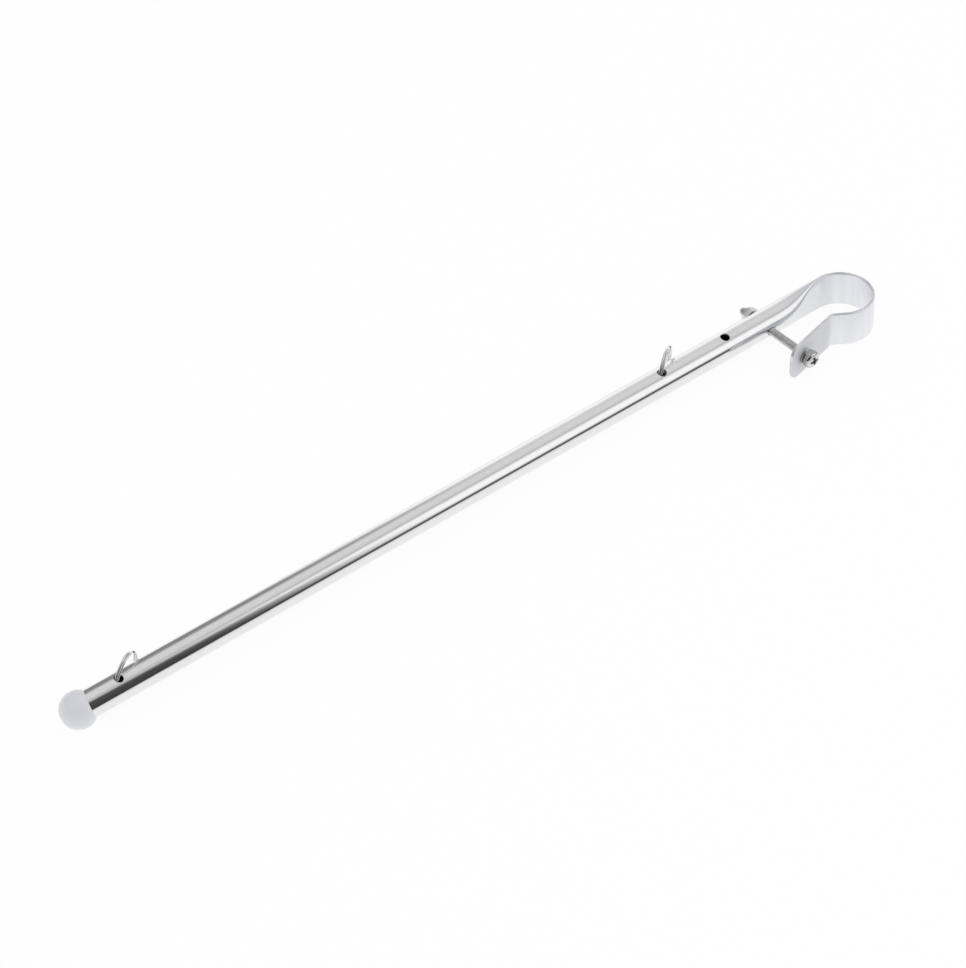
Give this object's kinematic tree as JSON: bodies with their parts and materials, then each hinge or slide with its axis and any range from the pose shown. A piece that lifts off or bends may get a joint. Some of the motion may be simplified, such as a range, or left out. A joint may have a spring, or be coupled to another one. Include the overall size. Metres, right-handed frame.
{
  "type": "rail-mount flagpole",
  "caption": "Short thin-wall tube flagpole with a strap clamp for a rail, a screw and nut, two split rings for the flag and a ball at its top.",
  "frame": {"origin": "the rail's axis, halfway up the clamp's strap, in the plane of the pole's axis", "axes": "+X along the pole from the ball to the clamp, +Z along the rail's axis, and the pole lies at +Y of the rail; as stored it lies on the strap's lower edge"},
  "size_m": [0.4437, 0.047, 0.0209],
  "materials": {
    "tube_metal": "polished stainless steel, satin where it was flattened",
    "fastener_steel": "bright stainless steel",
    "ball_plastic": "satin white"
  },
  "bodies": {
    "pole": {"pole_tube": "tube_metal", "pole_neck": "tube_metal", "clamp_loop": "tube_metal", "clamp_tab": "tube_metal", "ball_finial": "ball_plastic", "clamp_screw": "fastener_steel", "spring_washer": "fastener_steel", "hex_nut": "fastener_steel"},
    "upper_ring": {"upper_ring": "fastener_steel"},
    "lower_ring": {"lower_ring": "fastener_steel"}
  },
  "joints": [
    {"name": "upper_ring_swing", "type": "hinge", "parent": "pole", "child": "upper_ring", "pos_m": [-0.3999, 0.01415, 0], "axis": [0, -0.0958, 0.9954], "range_deg": [0, 116]},
    {"name": "lower_ring_swing", "type": "hinge", "parent": "pole", "child": "lower_ring", "pos_m": [-0.0954, 0.01415, 0], "axis": [0, -0.0958, 0.9954], "range_deg": [-4, 116]}
  ]
}
